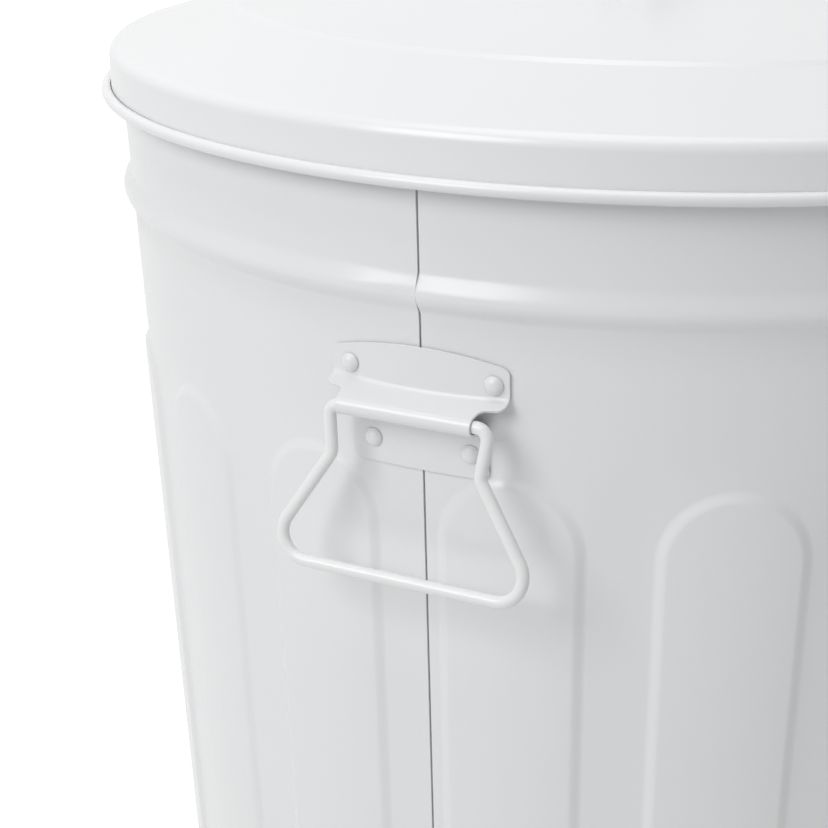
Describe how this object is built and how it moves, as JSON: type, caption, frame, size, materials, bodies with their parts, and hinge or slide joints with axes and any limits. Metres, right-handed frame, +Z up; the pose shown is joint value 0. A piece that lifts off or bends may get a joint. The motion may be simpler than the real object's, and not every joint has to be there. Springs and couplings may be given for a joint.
{
  "type": "lidded round bin",
  "caption": "Round tapered steel bin with raised arch-topped wall panels, a rolled-edge lift-off lid with a strap handle, and a hinged wire bail on each side.",
  "frame": {"origin": "on the floor at the centre of the can's foot ring", "axes": "+Z up along the can's axis, the two wire bails at -X and +X under the wall seams, -Y the front"},
  "size_m": [0.4812, 0.4648, 0.6484],
  "materials": {
    "painted_sheet": "glossy white enamel on thin steel sheet",
    "painted_hardware": "glossy white enamel on stamped steel",
    "painted_wire": "thick glossy white enamel on round steel wire",
    "zinc_wire": "dull zinc-coated wire"
  },
  "bodies": {
    "can": {"body_half_back": "painted_sheet", "body_half_front": "painted_sheet", "rim_wire": "zinc_wire", "bottom_pan": "painted_sheet", "handle_bracket_left": "painted_hardware", "handle_bracket_right": "painted_hardware", "bracket_rivet_left_1": "painted_hardware", "bracket_rivet_left_2": "painted_hardware", "bracket_rivet_left_3": "painted_hardware", "bracket_rivet_left_4": "painted_hardware", "bracket_rivet_right_1": "painted_hardware", "bracket_rivet_right_2": "painted_hardware", "bracket_rivet_right_3": "painted_hardware", "bracket_rivet_right_4": "painted_hardware"},
    "lid": {"lid_shell": "painted_sheet", "lid_handle": "painted_hardware", "lid_handle_rivet_1": "painted_hardware", "lid_handle_rivet_2": "painted_hardware", "lid_handle_rivet_3": "painted_hardware", "lid_handle_rivet_4": "painted_hardware"},
    "bail_left": {"bail_left": "painted_wire"},
    "bail_right": {"bail_right": "painted_wire"}
  },
  "joints": [
    {"name": "lid_lift", "type": "slide", "parent": "can", "child": "lid", "axis": [0, 0, 1], "range_m": [0, 0.45]},
    {"name": "bail_left_swing", "type": "hinge", "parent": "can", "child": "bail_left", "pos_m": [-0.23044, 0, 0.4877], "axis": [0, 1, 0], "range_deg": [-15, 172]},
    {"name": "bail_right_swing", "type": "hinge", "parent": "can", "child": "bail_right", "pos_m": [0.23044, 0, 0.4877], "axis": [0, -1, 0], "range_deg": [-15, 172]}
  ]
}
